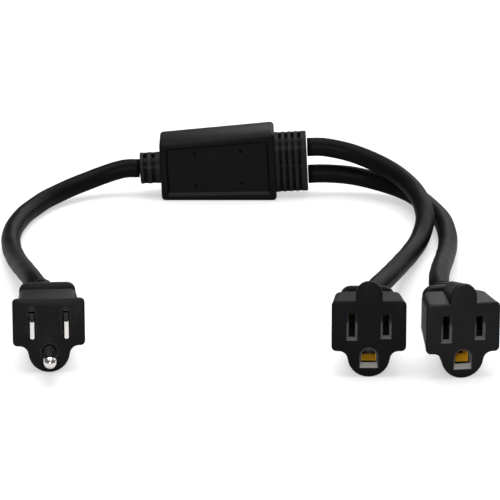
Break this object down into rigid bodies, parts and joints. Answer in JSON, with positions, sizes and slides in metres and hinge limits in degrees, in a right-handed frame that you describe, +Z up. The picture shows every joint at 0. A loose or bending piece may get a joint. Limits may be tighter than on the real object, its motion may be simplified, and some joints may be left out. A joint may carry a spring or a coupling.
{
  "type": "power cord splitter",
  "caption": "Short three-wire extension: a grounded plug, a moulded junction box and round cords that branch to grounded sockets.",
  "frame": {"origin": "centre of the footprint of the plug, the junction box and the sockets, on the table they lie on", "axes": "+Z up from the table; the faces of the plug and the sockets look along -Y; +X runs from the plug towards the sockets"},
  "size_m": [0.1953, 0.2582, 0.0371],
  "materials": {
    "moulding": "black moulded PVC, fine satin grain",
    "jacket": "black PVC cord jacket, soft sheen",
    "carrier": "dark grey hard plastic",
    "nickel": "nickel plated brass, bright",
    "brass": "bright brass sheet",
    "copper": "plain copper crimp",
    "line_wire": "black wire insulation",
    "neutral_wire": "white wire insulation",
    "ground_wire": "green wire insulation"
  },
  "bodies": {
    "root": {"input_cord": "jacket", "junction_box": "moulding", "junction_ground_splice": "copper", "junction_input_ground_wire": "ground_wire", "junction_input_line_wire": "line_wire", "junction_input_neutral_wire": "neutral_wire", "junction_line_splice": "copper", "junction_neutral_splice": "copper", "junction_output_1_ground_wire": "ground_wire", "junction_output_1_line_wire": "line_wire", "junction_output_1_neutral_wire": "neutral_wire", "junction_output_2_ground_wire": "ground_wire", "junction_output_2_line_wire": "line_wire", "junction_output_2_neutral_wire": "neutral_wire", "output_cord_1": "jacket", "output_cord_2": "jacket", "plug_blade_bridge": "carrier", "plug_body": "moulding", "plug_ground_pin": "nickel", "plug_ground_wire": "ground_wire", "plug_line_blade": "nickel", "plug_line_wire": "line_wire", "plug_neutral_blade": "nickel", "plug_neutral_wire": "neutral_wire", "socket_1_body": "moulding", "socket_1_contact_carrier": "carrier", "socket_1_ground_contact": "brass", "socket_1_ground_wire": "ground_wire", "socket_1_line_contact": "brass", "socket_1_line_wire": "line_wire", "socket_1_neutral_contact": "brass", "socket_1_neutral_wire": "neutral_wire", "socket_2_body": "moulding", "socket_2_contact_carrier": "carrier", "socket_2_ground_contact": "brass", "socket_2_ground_wire": "ground_wire", "socket_2_line_contact": "brass", "socket_2_line_wire": "line_wire", "socket_2_neutral_contact": "brass", "socket_2_neutral_wire": "neutral_wire"}
  },
  "joints": []
}
